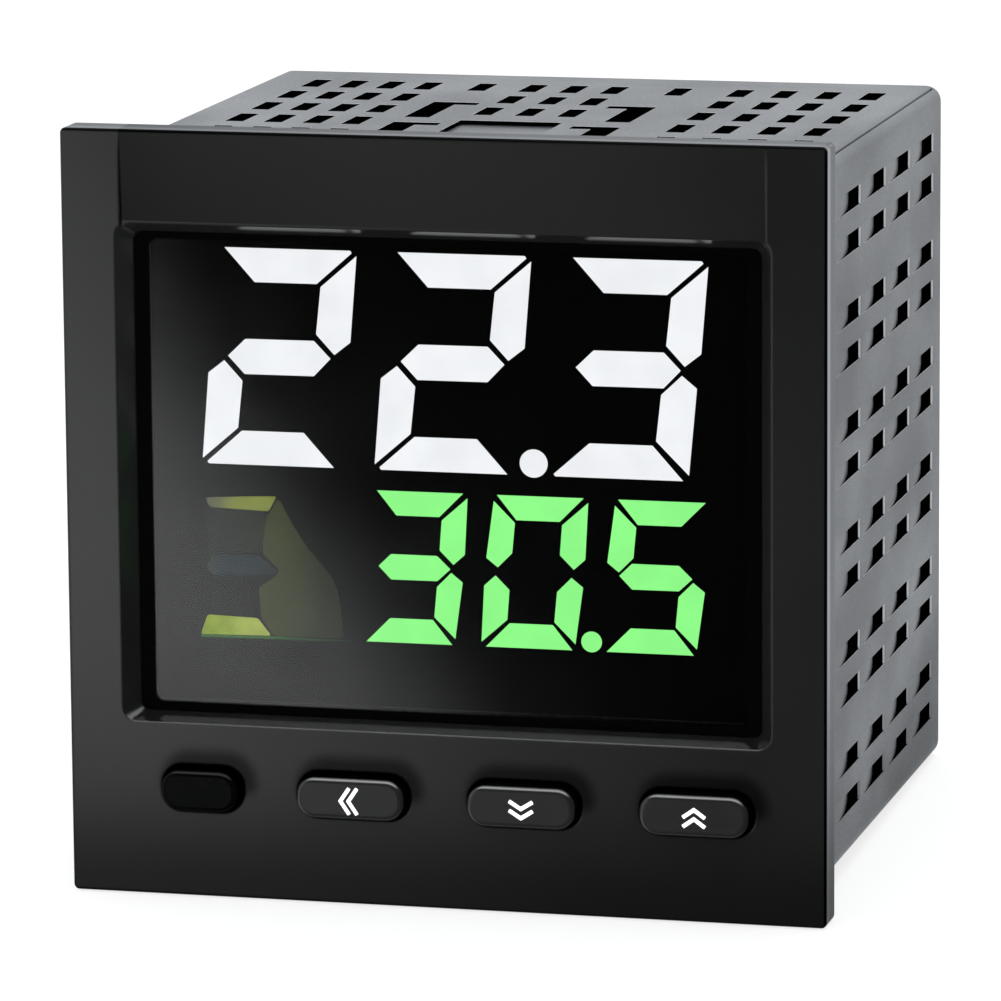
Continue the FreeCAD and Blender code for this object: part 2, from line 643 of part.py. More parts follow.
# holder: a frame with a thin front lip over the panel's border
ring = box("holder_block", -d["lens_w"] / 2, d["lens_w"] / 2, lens_y + d["lens_thick"], d["board_front"], -d["lens_low"], d["lens_high"])
room = box("holder_room", -(lx + 0.2), lx + 0.2, lcd_y, d["board_front"] + 1, -(d["lcd_low"] + 0.15), d["lcd_high"] + 0.15)
sight = box("holder_sight", -(lx - 0.6), lx - 0.6, lcd_y - 2, lcd_y + 1, -(d["lcd_low"] - 0.8), d["lcd_high"] - 0.6)
node(cut("holder", ring, [room, sight]), "lcd_holder")
strips = [box("strip_%d" % i, -34.0, 34.0, lcd_back, d["board_front"], z - 1.0, z + 1.0) for i, z in enumerate((-23.2, 33.6))]
node(group("strip_group", strips), "contact_strips")
leds = []
for s in (1, -1):
    for i, z in enumerate((-12.0, 5.2, 22.4)):
        x0 = 36.3 if s == 1 else -37.9
        leds.append(box("led_%d_%d" % (s + 1, i), x0, x0 + 1.6, d["board_front"] - 3.6, d["board_front"], z - 1.6, z + 1.6))
node(group("led_group", leds), "backlight_leds")

board_back = d["board_front"] + d["board_thick"]
o = box("display_board_blank", -d["board_w"] / 2, d["board_w"] / 2, d["board_front"], board_back, -d["board_low"], d["board_high"])
holes = [cyl("display_board_hole_%d" % i, "Y", x, V(d["board_front"]) - 1, z, 1.2, 4.0) for i, (x, z) in enumerate(BOSSES)]
node(cut("display_board_cut", o, holes), "display_board")
screws = []
for i, (x, z) in enumerate(BOSSES):
    shank = cyl("board_screw_shank_%d" % i, "Y", x, 1.2, z, 0.85, board_back - 1.2 + 0.3)
    head = cyl("board_screw_head_%d" % i, "Y", x, board_back, z, 1.75, 1.2)
    slot = box("board_screw_slot_%d" % i, x - 2.2, x + 2.2, board_back + 0.7, board_back + 2, z - 0.25, z + 0.25)
    screws.append(cut("board_screw_%d" % i, fuse("board_screw_blank_%d" % i, [shank, head]), [slot]))
node(group("board_screw_group", screws), "board_screws")

o = box("mcu_block", -6.0, 6.0, board_back, board_back + 1.6, -8.0, 4.0)
node(rounded("mcu", o, lambda e: along(e, "y"), 0.6), "microcontroller")
o = box("driver_block", -5.0, 5.0, board_back, board_back + 1.4, 14.0, 21.0)
node(rounded("driver", o, lambda e: along(e, "y"), 0.5), "display_driver")

# ================================================================ side boards
sx, bt = d["side_board_x"], d["board_thick"]
for side, name in ((-1, "power_board"), (1, "output_board")):
    x0, x1 = (sx, sx + bt) if side == 1 else (-(sx + bt), -sx)
    o = box(name + "_blank", x0, x1, d["side_board_front"], d["side_board_back"], -d["side_board_low"], d["side_board_high"])
    node(o, name)
heads = []
for side in (-1, 1):
    x0, x1 = (sx - 5.0, sx) if side == 1 else (-sx, -sx + 5.0)
    heads.append(box("header_%d" % (side + 1), x0, x1, board_back, board_back + 8.4, -16.0, 16.0))
node(group("header_group", heads), "board_connectors")

# switching transformer: ferrite core with two windows, coil round the middle leg
px = -sx
core = box("core_block", px + 2.4, px + 14.4, 40.0, 60.0, 6.0, 26.0)
w1 = box("core_window_1", px, px + 16.0, 43.0, 47.6, 9.0, 23.0)
w2 = box("core_window_2", px, px + 16.0, 52.4, 57.0, 9.0, 23.0)
node(cut("core", core, [w1, w2]), "transformer_core")
coil = box("coil_block", px, px + 16.2, 43.2, 56.8, 9.2, 22.8)
leg = box("coil_hole", px + 2.2, px + 14.6, 47.4, 52.6, 8.0, 24.0)
node(cut("coil", coil, [leg]), "transformer_coil")
caps = [
    cyl("capacitor_a", "X", px, 28.0, 22.0, 6.3, 21.0),
    cyl("capacitor_b", "X", px, 28.0, 5.0, 5.0, 16.5),
    cyl("capacitor_c", "X", px, 66.0 - 11.0, -3.0, 4.0, 12.0),
]
caps = [rounded("%s_can" % c.Name, c, lambda e, q=c: abs(e.BoundBox.XMin - (q.Placement.Base.x + V(q.Height))) < 1e-3, 0.6) for c in caps]
node(group("capacitor_group", caps), "capacitors")
o = box("filter_block", px, px + 12.0, 18.0, 36.0, -24.0, -10.0)
node(rounded("filter", o, lambda e: True, 0.8), "line_filter")
tube = cyl("fuse_tube", "Y", px + 3.4, 44.0, -20.0, 2.6, 20.0)
node(tube, "fuse")
disc = cyl("varistor_disc", "Y", px + 7.2, 44.0, -32.0, 5.2, 4.2)
node(rounded("varistor_shape", disc, lambda e: True, 0.8), "varistor")
relays = []
for i, z in enumerate((-30.0, -8.0, 14.0)):
    r_ = box("relay_block_%d" % i, sx - 15.4, sx, 43.0, 61.0, z, z + 10.4)
    relays.append(rounded("relay_%d" % i, r_, lambda e: along(e, "x"), 0.8))
node(group("relay_group", relays), "output_relays")
chips = [box("coupler_%d" % i, sx - 3.4, sx, 33.0, 37.6, -30.0 + 14 * i, -23.4 + 14 * i) for i in range(4)]
node(group("coupler_group", chips), "optocouplers")
o = box("converter_block", sx - 1.6, sx, 20.0, 27.4, -4.0, 6.0)
node(o, "input_converter")

# ================================================================ terminals
N_TERM = 9
first = -d["term_pitch"] * ((N_TERM - 1) / 2.0) - 0.3
floor_y = d["term_back"] - d["term_cell_depth"]
plates, tscrews = [], []
for side, name in ((-1, "left_terminal_block"), (1, "right_terminal_block")):
    b = new_body(name)
    a, c = (d["term_in"], d["term_out"]) if side == 1 else (-d["term_out"], -d["term_in"])
    sk = sketch(b, name + "_sketch", "XZ", d["term_back"])
    rrect(sk, a, c, -d["term_low"], d["term_high"], 0.8)
    pad(b, name + "_body", sk, d["term_back"] - d["term_front"])
    tx = side * d["term_x"]
    sk = sketch(b, name + "_cell_sketch", "XZ", floor_y)
    ca, cb = (d["term_in"] + 1.4, d["term_out"] - 1.4) if side == 1 else (-(d["term_out"] - 1.4), -(d["term_in"] + 1.4))
    rrect(sk, ca, cb, first - d["term_cell"] / 2, first + d["term_cell"] / 2, 0.6)
    p1 = pocket(b, name + "_cell", sk, d["term_cell_depth"] + 1)
    sk = sketch(b, name + "_screw_sketch", "XZ", floor_y)
    circle(sk, tx, first, d["screw_radius"] + 0.1)
    p2 = pocket(b, name + "_screw_hole", sk, 6.0, reverse=True)
    # slit for the terminal's tail
    ta, tb = (sx - 0.9, sx + 0.1) if side == 1 else (-(sx + 0.1), -(sx - 0.9))
    sk = sketch(b, name + "_tail_sketch", "XZ", d["term_front"] - 1)
    rect(sk, ta, tb, first - 3.2, first - 1.8)
    p3 = pocket(b, name + "_tail_slit", sk, floor_y - d["term_front"] + 2)
    pattern(b, name + "_cells", [p1, p2, p3], "Z", d["term_pitch"], N_TERM)
    node(b, name)
    for i in range(N_TERM):
        z = first + d["term_pitch"] * i
        tag = "%s_%d" % ("r" if side == 1 else "l", i)
        pa, pb = (tx - 4.6, tx + 5.4) if side == 1 else (tx - 5.4, tx + 4.6)
        blank = box("plate_blank_" + tag, pa, pb, floor_y, floor_y + d["plate_thick"], z - 3.2, z + 3.2)
        tla, tlb = (sx - 0.8, sx) if side == 1 else (-sx, -(sx - 0.8))
        tail = box("plate_tail_" + tag, tla, tlb, 62.0, floor_y + 0.2, z - 3.1, z - 1.9)
        hole = cyl("plate_hole_" + tag, "Y", tx, floor_y - 1, z, d["screw_radius"] + 0.15, 4.0)
        plates.append(cut("plate_" + tag, fuse("plate_whole_" + tag, [blank, tail]), [hole]))
        y0 = floor_y + d["plate_thick"]
        shank = cyl("terminal_shank_" + tag, "Y", tx, y0 - 5.4, z, d["screw_radius"], 5.6)
        head = cyl("terminal_head_" + tag, "Y", tx, y0, z, d["screw_head_radius"], d["screw_head_tall"])
        ca_ = box("terminal_cross_a_" + tag, tx - 1.9, tx + 1.9, y0 + 0.8, y0 + 3, z - 0.35, z + 0.35)
        cb_ = box("terminal_cross_b_" + tag, tx - 0.35, tx + 0.35, y0 + 0.8, y0 + 3, z - 1.9, z + 1.9)
        tscrews.append(cut("terminal_screw_" + tag, fuse("terminal_screw_blank_" + tag, [shank, head]), [ca_, cb_]))
node(group("plate_group", plates), "terminal_plates")
node(group("terminal_screw_group", tscrews), "terminal_screws")

# ================================================================ check and write
DOC.recompute()
bad = [o.Name for o in DOC.Objects if "Invalid" in o.State or "Error" in o.State]
if bad:
    raise RuntimeError("failed objects: %s" % bad)
for o in NODES:
    s = o.Shape
    if s.isNull() or not s.isValid() or not s.Solids:
        raise RuntimeError("bad shape: %s" % o.Label)
os.makedirs("parts", exist_ok=True)
for old in os.listdir("parts"):
    if old.endswith(".step"):
        os.remove(os.path.join("parts", old))
for o in NODES:
    s = o.Shape
    bb = s.BoundBox
    print("%-22s solids %3d vol %9.1f  X %7.2f %7.2f  Y %7.2f %7.2f  Z %7.2f %7.2f"
          % (o.Label, len(s.Solids), s.Volume, bb.XMin, bb.XMax, bb.YMin, bb.YMax, bb.ZMin, bb.ZMax))
    s.exportStep("parts/%s.step" % o.Label)
print("nodes", len(NODES))
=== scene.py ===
import math

import bmesh
import bpy
from mathutils import Matrix, Vector


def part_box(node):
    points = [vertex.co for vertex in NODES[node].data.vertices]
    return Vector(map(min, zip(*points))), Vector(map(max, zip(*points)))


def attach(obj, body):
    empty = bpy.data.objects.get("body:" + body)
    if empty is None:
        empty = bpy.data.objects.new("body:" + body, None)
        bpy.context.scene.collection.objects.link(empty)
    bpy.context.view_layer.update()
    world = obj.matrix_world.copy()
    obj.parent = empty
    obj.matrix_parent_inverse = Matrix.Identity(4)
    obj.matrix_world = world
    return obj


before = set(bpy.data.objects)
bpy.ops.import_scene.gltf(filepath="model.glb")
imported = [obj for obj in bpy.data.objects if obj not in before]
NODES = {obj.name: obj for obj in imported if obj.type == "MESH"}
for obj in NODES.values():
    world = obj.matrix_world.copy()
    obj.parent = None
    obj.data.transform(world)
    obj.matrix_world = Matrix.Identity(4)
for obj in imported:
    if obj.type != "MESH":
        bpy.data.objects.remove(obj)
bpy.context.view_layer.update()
MM = 0.001


# ------------------------------------------------------------------ node helpers
class Tree:
    """Small helper round a material's node tree."""

    def __init__(self, name):
        self.mat = bpy.data.materials.new(name)
        self.mat.use_nodes = True
        self.nt = self.mat.node_tree
        self.shader = self.nt.nodes["Principled BSDF"]
        self.out = self.nt.nodes["Material Output"]
        self._coord = None

    def new(self, kind, **values):
        n = self.nt.nodes.new(kind)
        for k, v in values.items():
            setattr(n, k, v)
        return n

    def link(self, a, b):
        self.nt.links.new(a, b)

    def coord(self):
        if self._coord is None:
            self._coord = self.new("ShaderNodeTexCoord")
        return self._coord.outputs["Object"]

    def noise(self, scale, detail=2.0, rough=0.5, stretch=None, distortion=0.0):
        """scale in features per metre of the object."""
        n = self.new("ShaderNodeTexNoise")
        n.inputs["Scale"].default_value = scale
        n.inputs["Detail"].default_value = detail
        n.inputs["Roughness"].default_value = rough
        n.inputs["Distortion"].default_value = distortion
        src = self.coord()
        if stretch:
            m = self.new("ShaderNodeMapping")
            m.inputs["Scale"].default_value = stretch
            self.link(src, m.inputs["Vector"])
            src = m.outputs["Vector"]
        self.link(src, n.inputs["Vector"])
        return n.outputs["Fac"]

    def voronoi(self, scale, feature="F1", out="Distance"):
        n = self.new("ShaderNodeTexVoronoi", feature=feature)
        n.inputs["Scale"].default_value = scale
        self.link(self.coord(), n.inputs["Vector"])
        return n.outputs[out]

    def math(self, op, a, b=None, c=None, clamp=False):
        n = self.new("ShaderNodeMath", operation=op)
        n.use_clamp = clamp
        for i, v in enumerate((a, b, c)):
            if v is None:
                continue
            if isinstance(v, (int, float)):
                n.inputs[i].default_value = v
            else:
                self.link(v, n.inputs[i])
        return n.outputs[0]

    def ramp(self, fac, stops, smooth=False):
        n = self.new("ShaderNodeValToRGB")
        r = n.color_ramp
        if smooth:
            r.interpolation = "EASE"
        while len(r.elements) < len(stops):
            r.elements.new(0.5)
        for e, (p, c) in zip(r.elements, stops):
            e.position = p
            e.color = (c[0], c[1], c[2], 1.0)
        self.link(fac, n.inputs["Fac"])
        return n.outputs["Color"]

    def range(self, value, a, b, lo, hi, smooth=True):
        n = self.new("ShaderNodeMapRange")
        n.interpolation_type = "SMOOTHSTEP" if smooth else "LINEAR"
        for k, v in (("From Min", a), ("From Max", b), ("To Min", lo), ("To Max", hi)):
            n.inputs[k].default_value = v
        self.link(value, n.inputs["Value"])
        return n.outputs["Result"]

    def mix(self, fac, a, b, mode="MIX"):
        n = self.new("ShaderNodeMix", data_type="RGBA", blend_type=mode)
        if isinstance(fac, (int, float)):
            n.inputs[0].default_value = fac
        else:
            self.link(fac, n.inputs[0])
        for i, v in ((6, a), (7, b)):
            if isinstance(v, tuple):
                n.inputs[i].default_value = (v[0], v[1], v[2], 1.0)
            else:
                self.link(v, n.inputs[i])
        return n.outputs[2]

    def xyz(self, socket=None):
        n = self.new("ShaderNodeSeparateXYZ")
        self.link(socket if socket is not None else self.coord(), n.inputs[0])
        return n.outputs

    def bump(self, height, strength, distance, normal=None):
        n = self.new("ShaderNodeBump")
        n.inputs["Strength"].default_value = strength
        n.inputs["Distance"].default_value = distance
        self.link(height, n.inputs["Height"])
        if normal is not None:
            self.link(normal, n.inputs["Normal"])
        return n.outputs["Normal"]

    def set(self, **values):
        names = {
            "color": "Base Color", "rough": "Roughness", "metal": "Metallic", "ior": "IOR",
            "spec": "Specular IOR Level", "coat": "Coat Weight", "coat_rough": "Coat Roughness",
            "trans": "Transmission Weight", "alpha": "Alpha", "normal": "Normal",
            "emit": "Emission Color", "power": "Emission Strength", "sheen": "Sheen Weight",
            "aniso": "Anisotropic", "sss": "Subsurface Weight",
        }
        for k, v in values.items():
            s = self.shader.inputs[names[k]]
            if isinstance(v, (int, float)):
                s.default_value = v
            elif isinstance(v, tuple):
                s.default_value = (v[0], v[1], v[2], 1.0)
            else:
                self.link(v, s)
        return self


def moulded(name, colour, rough=0.45, grain=5200.0, depth=0.012, var=0.12, blotch=60.0, spec=0.5, rough_var=0.06, lines=False, edge=0.0, painted_ao_shade=None, grit=0.04, sides=None, holes=None, walls=None):
    """Moulded plastic: fine spark-eroded grain, a faint flow variation and uneven gloss."""
    t = Tree(name)
    flow = t.noise(blotch, 3.0, 0.55, stretch=(1.0, 0.55, 1.0))
    fine = t.noise(grain, 2.0, 0.6)
    dark = tuple(c * (1 - var) for c in colour)
    light = tuple(min(1.0, c * (1 + var)) for c in colour)
    col = t.ramp(flow, [(0.3, dark), (0.7, light)])
    speck = t.range(fine, 0.35, 0.65, 0.9, 1.1)
    mul = t.new("ShaderNodeVectorMath", operation="SCALE")
    t.link(col, mul.inputs[0])
    t.link(speck, mul.inputs["Scale"])
    r = t.math("ADD", t.range(flow, 0.25, 0.75, rough - rough_var, rough + rough_var), t.range(fine, 0.3, 0.7, -grit, grit))
    if sides:
        # past sides[0] mm from the middle the mould is textured: rougher, with less gloss
        x, y, z = t.xyz()
        out_ = t.math("MAXIMUM", t.math("ABSOLUTE", x), t.math("ABSOLUTE", z))
        edge_ = t.range(out_, sides[0] * MM, (sides[0] + 0.25) * MM, 0.0, 1.0)
        r = t.math("ADD", r, t.math("MULTIPLY", edge_, sides[1] - rough))
        # the texture is glossier along the front of the flange's rim, and duller over the rest of its top
        plain = t.math("MULTIPLY", t.math("SUBTRACT", 1.0, t.math("MULTIPLY", t.math("GREATER_THAN", z, 47.9 * MM), 0.62)), sides[2])
        rim = t.math("ADD", t.math("MULTIPLY", t.range(y, -4.4 * MM, -3.4 * MM, 1.0, 0.0), t.math("SUBTRACT", sides[2] * 1.45, plain)), plain)
        spec = t.math("ADD", t.math("MULTIPLY", edge_, t.math("SUBTRACT", rim, spec)), spec)
    h = fine
    if lines:
        h = t.math("ADD", fine, t.math("MULTIPLY", t.noise(900.0, 1.0, 0.5, stretch=(1.0, 0.04, 1.0)), 0.5))
    round_off = None
    if edge:
        # the small radius a mould leaves on every edge, edge mm
        e = t.new("ShaderNodeBevel")
        e.samples = 4
        e.inputs["Radius"].default_value = edge * MM
        round_off = e.outputs["Normal"]
    shade = mul.outputs[0]
    if sides:
        # painted shade: darker, with less gloss, towards the bottom, and on the leaning panel above the window
        low_front = t.range(z, -47.0 * MM, -31.0 * MM, 0.46, 1.0)
        low_side = t.range(z, -45.0 * MM, -6.0 * MM, 0.10, 1.0)
        painted_shade = t.math("ADD", low_front, t.math("MULTIPLY", edge_, t.math("SUBTRACT", low_side, low_front)))
        panel = t.math("MULTIPLY", t.math("LESS_THAN", t.math("ABSOLUTE", x), 40.5 * MM), t.math("GREATER_THAN", z, 36.66 * MM))
        panel = t.math("MULTIPLY", panel, t.math("SUBTRACT", 1.0, t.range(x, -40.0 * MM, 26.0 * MM, 0.36, 1.0, smooth=False)))
        painted_shade = t.math("MULTIPLY", painted_shade, t.math("SUBTRACT", 1.0, panel))
        # the keys' soft shade on the panel above and beside them
        for key, wide in ((-30.9, 9.8), (-11.5, 13.6), (10.2, 13.6), (31.9, 13.6)):
            kx = t.math("MAXIMUM", t.math("SUBTRACT", t.math("ABSOLUTE", t.math("SUBTRACT", x, (key + 0.8) * MM)), (wide / 2 - 2.6) * MM), 0.0)
            kz = t.math("SUBTRACT", z, -33.3 * MM)
            gap = t.math("SQRT", t.math("ADD", t.math("MULTIPLY", kx, kx), t.math("MULTIPLY", kz, kz)))
            soft = t.math("SUBTRACT", 1.0, t.math("MULTIPLY", t.range(gap, 2.8 * MM, 5.0 * MM, 0.62, 0.0), t.range(z, -36.0 * MM, -33.5 * MM, 0.0, 1.0)))
            painted_shade = t.math("MULTIPLY", painted_shade, soft)
        # painted highlight: the rim's right side is paler along its front
        painted_highlight = t.math("MULTIPLY", t.math("GREATER_THAN", x, 47.9 * MM), t.math("MULTIPLY", t.range(y, -4.6 * MM, -3.2 * MM, 1.0, 0.0), t.range(y, -5.5 * MM, -5.0 * MM, 0.0, 1.0)))
        painted_highlight = t.math("MULTIPLY", painted_highlight, low_side)
        shade = t.mix(painted_highlight, shade, (0.17, 0.171, 0.173))
        # painted shade: the sharp front edge, right and top, is darkened in colour and holds no gloss
        far = t.range(t.math("MAXIMUM", x, z), 47.62 * MM, 47.74 * MM, 0.0, 1.0)
        painted_dark_edge = t.math("MULTIPLY", far, t.range(y, -5.62 * MM, -5.5 * MM, 1.0, 0.0))
        painted_shade = t.math("MULTIPLY", painted_shade, t.math("SUBTRACT", 1.0, t.math("MULTIPLY", painted_dark_edge, 0.93)))
        # the painted shade is multiplied into the colour
        painted_dim = t.new("ShaderNodeVectorMath", operation="SCALE")
        t.link(shade, painted_dim.inputs[0])
        t.link(painted_shade, painted_dim.inputs["Scale"])
        shade = painted_dim.outputs[0]
        spec = t.math("MULTIPLY", spec, painted_shade)
    if painted_ao_shade:
        # painted shade: deep corners, slots and gaps are darkened in colour and gloss by an occlusion mask: (reach in
        # mm, share kept in the deepest)
        ao = t.new("ShaderNodeAmbientOcclusion")
        ao.samples = 8
        ao.inputs["Distance"].default_value = painted_ao_shade[0] * MM
        open_ = t.range(ao.outputs["AO"], 0.12, painted_ao_shade[2] if len(painted_ao_shade) > 2 else 0.92, painted_ao_shade[1], 1.0)
        deep = t.new("ShaderNodeVectorMath", operation="SCALE")
        t.link(shade, deep.inputs[0])
        t.link(open_, deep.inputs["Scale"])
        shade = deep.outputs[0]
        spec = t.math("MULTIPLY", open_, spec)
    if walls:
        # a key's walls, behind its rounded front, lie in the shadow of the panel
        front = t.range(t.xyz()[1], walls * MM, (walls + 0.18) * MM, 1.0, 0.06)
        shaded = t.new("ShaderNodeVectorMath", operation="SCALE")
        t.link(shade, shaded.inputs[0])
        t.link(front, shaded.inputs["Scale"])
        shade = shaded.outputs[0]
        spec = t.math("MULTIPLY", spec, front)
    if holes:
        # walls of slots and louvres: (half width, bottom, top, rear) of the case in mm. A painted highlight, a
        # light lip at the surface, then painted shade, dark below it
        wide, low, up, back = holes
        x, y, z = t.xyz()
        flat = t.xyz(t.new("ShaderNodeNewGeometry").outputs["True Normal"])
        from_side = t.math("SUBTRACT", wide * MM, t.math("ABSOLUTE", x))
        from_top = t.math("MINIMUM", t.math("SUBTRACT", up * MM, z), t.math("ADD", z, -low * MM))
        in_side = t.math("MULTIPLY", t.math("LESS_THAN", from_side, 1.75 * MM), t.math("LESS_THAN", t.math("ABSOLUTE", flat[0]), 0.5))
        in_side = t.math("MULTIPLY", in_side, t.math("GREATER_THAN", from_top, 2.2 * MM))
        in_top = t.math("MULTIPLY", t.math("LESS_THAN", from_top, 1.75 * MM), t.math("LESS_THAN", t.math("ABSOLUTE", flat[2]), 0.5))
        in_top = t.math("MULTIPLY", in_top, t.math("GREATER_THAN", from_side, 2.2 * MM))
        facing = t.math("LESS_THAN", flat[1], -0.5)
        low_wall = t.math("GREATER_THAN", flat[2], 0.5)
        for inner, under, width in ((in_side, from_side, t.math("ADD", t.math("ADD", t.math("MULTIPLY", facing, 0.21 * MM), t.math("MULTIPLY", low_wall, 0.0)), 0.04 * MM)), (in_top, from_top, 0.05 * MM)):
            inner = t.math("MULTIPLY", inner, t.math("LESS_THAN", y, (back - 1.0) * MM))
            painted_rim_highlight = t.math("MULTIPLY", inner, t.math("LESS_THAN", under, width))
            painted_slot_shade = t.math("MULTIPLY", inner, t.math("GREATER_THAN", under, width))
            shade = t.mix(painted_rim_highlight, shade, (0.72, 0.73, 0.75))
            shade = t.mix(painted_slot_shade, shade, (0.0006, 0.0006, 0.0007))
            spec = t.math("MULTIPLY", spec, t.math("SUBTRACT", 1.0, painted_slot_shade))
        # the sides get less light towards the bottom
        lowest = t.range(z, -45.0 * MM, -18.0 * MM, 0.24, 1.0)
        dim = t.new("ShaderNodeVectorMath", operation="SCALE")
        t.link(shade, dim.inputs[0])
        t.link(lowest, dim.inputs["Scale"])
        shade = dim.outputs[0]
        spec = t.math("MULTIPLY", spec, lowest)
        # everything inside the shell is out of the light
        depth_ = t.math("MINIMUM", t.math("MINIMUM", from_side, from_top), t.math("SUBTRACT", back * MM, y))
        within = t.range(depth_, 1.3 * MM, 1.5 * MM, 0.0, 1.0)
        shade = t.mix(within, shade, (0.0006, 0.0006, 0.0007))
        spec = t.math("MULTIPLY", spec, t.math("SUBTRACT", 1.0, within))
    t.set(color=shade, rough=r, spec=spec, normal=t.bump(h, 0.5, depth * MM, round_off))
    return t.mat


def paint(node, *mats):
    o = NODES[node]
    o.data.materials.clear()
    for m in mats:
        o.data.materials.append(m)
    return o


# ------------------------------------------------------------------ materials
m_bezel = moulded("bezel_black", (0.0080, 0.0081, 0.0083), rough=0.15, grain=6200, depth=0.0010, var=0.10, blotch=38, rough_var=0.012, spec=0.5, edge=0.34, painted_ao_shade=(3.0, 0.1, 0.66), grit=0.012, sides=(47.65, 0.34, 0.24))
m_case = moulded("case_black", (0.020, 0.0205, 0.022), rough=0.38, grain=4300, depth=0.010, var=0.14, blotch=45, rough_var=0.06, lines=True, edge=0.3, painted_ao_shade=(3.2, 0.0), holes=(45.25, -45.8, 44.3, 84.2))
m_key = moulded("key_black", (0.0115, 0.0117, 0.0120), rough=0.20, grain=7000, depth=0.0015, var=0.08, blotch=220, rough_var=0.02, spec=0.5, painted_ao_shade=(2.6, 0.05, 0.72), grit=0.02, walls=-7.66)
m_key_gloss = moulded("key_gloss", (0.0010, 0.0011, 0.0013), rough=0.14, grain=2500, depth=0.002, var=0.3, blotch=420, rough_var=0.04, spec=0.05, painted_ao_shade=(2.6, 0.05), walls=-7.66)
m_holder = moulded("holder_black", (0.012, 0.012, 0.013), rough=0.55, grain=5000)
m_plunger = moulded("plunger_red", (0.35, 0.05, 0.035), rough=0.4, grain=6000)
m_switch = moulded("switch_dark", (0.02, 0.02, 0.02), rough=0.5, grain=6000)
m_chip = moulded("chip_epoxy", (0.016, 0.016, 0.017), rough=0.6, grain=9000, depth=0.02)
m_header = moulded("header_nylon", (0.62, 0.58, 0.47), rough=0.45, grain=5000)
m_film = moulded("film_white", (0.86, 0.86, 0.85), rough=0.55, grain=3000, var=0.02)
m_led = moulded("led_resin", (0.82, 0.78, 0.5), rough=0.25, grain=5000)
m_relay = moulded("relay_blue", (0.02, 0.045, 0.11), rough=0.3, grain=5000, depth=0.006)
m_coupler = moulded("coupler_white", (0.66, 0.66, 0.63), rough=0.42, grain=7000)
m_filter = moulded("filter_box", (0.42, 0.40, 0.33), rough=0.3, grain=4000)
m_varistor = moulded("varistor_blue", (0.03, 0.12, 0.42), rough=0.28, grain=900, depth=0.05, var=0.15)
m_strip = moulded("strip_rubber", (0.62, 0.58, 0.55), rough=0.7, grain=3500)
m_terminal = moulded("terminal_black", (0.018, 0.0185, 0.020), rough=0.42, grain=5200, depth=0.010, var=0.12, edge=0.2)


def board_green():
    t = Tree("board_green")
    tracks = t.voronoi(260.0)
    weave = t.noise(2600.0, 1.0, 0.4, stretch=(1.0, 0.3, 1.0))
    col = t.ramp(tracks, [(0.0, (0.01, 0.085, 0.03)), (0.42, (0.012, 0.11, 0.04)), (0.46, (0.02, 0.17, 0.06)), (0.6, (0.012, 0.1, 0.035))])
    t.set(color=col, rough=t.range(weave, 0.3, 0.7, 0.28, 0.4), normal=t.bump(t.math("ADD", tracks, weave), 0.3, 0.02 * MM))
    return t.mat


def metal(name, colour, rough=0.3, scratch=3000.0):
    t = Tree(name)
    brush = t.noise(scratch, 3.0, 0.6, stretch=(1.0, 0.08, 0.6))
    blotch = t.noise(300.0, 2.0)
    col = t.ramp(blotch, [(0.3, tuple(c * 0.92 for c in colour)), (0.7, colour)])
    t.set(color=col, metal=1.0, rough=t.range(brush, 0.3, 0.7, rough - 0.08, rough + 0.1), normal=t.bump(brush, 0.12, 0.005 * MM))
    return t.mat


def ferrite():
    t = Tree("ferrite_grey")
    n = t.noise(3500.0, 4.0, 0.7)
    t.set(color=t.ramp(n, [(0.3, (0.035, 0.035, 0.038)), (0.7, (0.075, 0.075, 0.08))]), rough=t.range(n, 0.3, 0.7, 0.5, 0.75), normal=t.bump(n, 0.6, 0.04 * MM))
    return t.mat


def coil():
    t = Tree("coil_tape")
    z = t.xyz()[2]
    wraps = t.math("SINE", t.math("MULTIPLY", z, 2 * math.pi / (1.6 * MM)))
    n = t.noise(1200.0, 2.0)
    t.set(color=t.ramp(n, [(0.3, (0.55, 0.36, 0.05)), (0.7, (0.78, 0.55, 0.09))]), rough=0.32, normal=t.bump(t.math("ADD", wraps, n), 0.35, 0.05 * MM))
    return t.mat


def sleeve():
    t = Tree("capacitor_sleeve")
    x, y, z = t.xyz()
    n = t.noise(900.0, 2.0)
    stripe = t.math("GREATER_THAN", t.math("SINE", t.math("MULTIPLY", y, 2 * math.pi / (9 * MM))), 0.86)
    col = t.mix(stripe, (0.012, 0.02, 0.05), (0.45, 0.46, 0.48))
    t.set(color=col, rough=t.range(n, 0.3, 0.7, 0.24, 0.36), normal=t.bump(n, 0.2, 0.03 * MM))
    return t.mat


def tube():
    t = Tree("fuse_tube")
    n = t.noise(1500.0, 3.0)
    t.set(color=t.ramp(n, [(0.3, (0.62, 0.6, 0.54)), (0.7, (0.78, 0.76, 0.7))]), rough=0.3, normal=t.bump(n, 0.2, 0.02 * MM))
    return t.mat


def acrylic():
    t = Tree("guide_acrylic")
    n = t.voronoi(900.0)
    t.set(color=t.ramp(n, [(0.1, (0.92, 0.93, 0.93)), (0.5, (0.72, 0.73, 0.74))]), rough=0.18, normal=t.bump(n, 0.2, 0.02 * MM))
    return t.mat


def lcd_black():
    """Dark negative display: near black, with the faint darker cells of its unlit segments' layer."""
    t = Tree("lcd_black")
    n = t.noise(500.0, 2.0)
    fine = t.noise(9000.0, 1.0)
    col = t.ramp(n, [(0.3, (0.0007, 0.0007, 0.0008)), (0.7, (0.0012, 0.0012, 0.0014))])
    t.set(color=col, rough=t.range(fine, 0.3, 0.7, 0.45, 0.6), spec=0.02)
    return t.mat


# the clear part of the pane, mm from the frame's origin
VIEW_X, VIEW_LOW, VIEW_HIGH, VIEW_R = 37.5, 23.85, 34.2, 1.1


